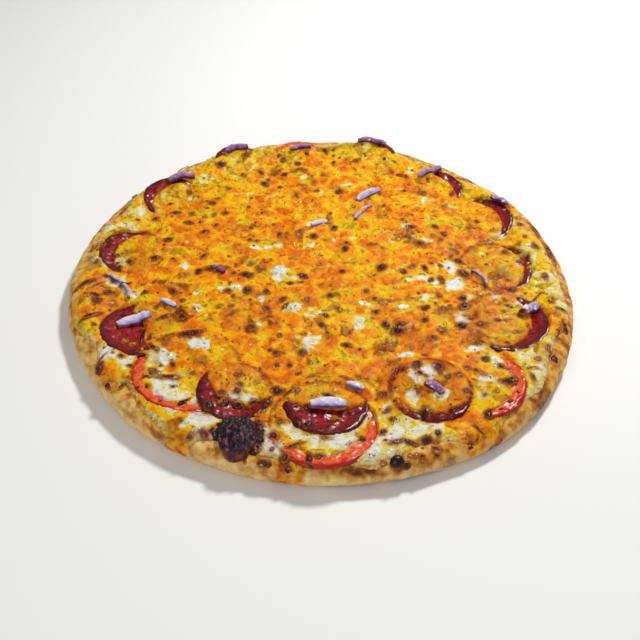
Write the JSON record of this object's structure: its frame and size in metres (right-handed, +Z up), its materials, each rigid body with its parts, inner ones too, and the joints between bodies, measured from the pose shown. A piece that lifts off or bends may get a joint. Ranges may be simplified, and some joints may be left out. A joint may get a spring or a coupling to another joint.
{
  "type": "chicken ranch pizza",
  "caption": "Round baked pizza on a low pale crust under melted orange and white cheese, with salami and tomato slices near the rim, chicken, red onion and one charred lump.",
  "frame": {"origin": "centre of the crust's flat underside", "axes": "+Z up through the toppings, -Y towards the side that the picture shows nearest, +X to its right"},
  "size_m": [0.3062, 0.3029, 0.0227],
  "materials": {
    "dough": "baked pale, floury, browned in spots",
    "cheese": "melted and oily, orange and white, with browned blisters",
    "salami": "oily",
    "tomato": "wet",
    "onion": "moist",
    "chicken": "fibrous, cooked",
    "charred": "burnt, crumbly"
  },
  "bodies": {
    "root": {"crust": "dough", "cheese": "cheese", "charred_lump": "charred", "tomato_01": "tomato", "tomato_02": "tomato", "tomato_03": "tomato", "tomato_04": "tomato", "salami_01": "salami", "salami_02": "salami", "salami_03": "salami", "salami_04": "salami", "salami_05": "salami", "salami_06": "salami", "salami_07": "salami", "salami_08": "salami", "salami_09": "salami", "salami_10": "salami", "salami_11": "salami", "salami_12": "salami", "chicken_01": "chicken", "chicken_02": "chicken", "chicken_03": "chicken", "chicken_04": "chicken", "chicken_05": "chicken", "chicken_06": "chicken", "chicken_07": "chicken", "onion_01": "onion", "onion_02": "onion", "onion_03": "onion", "onion_04": "onion", "onion_05": "onion", "onion_06": "onion", "onion_07": "onion", "onion_08": "onion", "onion_09": "onion", "onion_10": "onion", "onion_11": "onion", "onion_12": "onion", "onion_13": "onion", "onion_14": "onion", "onion_15": "onion", "onion_16": "onion", "onion_17": "onion", "onion_18": "onion"}
  },
  "joints": []
}
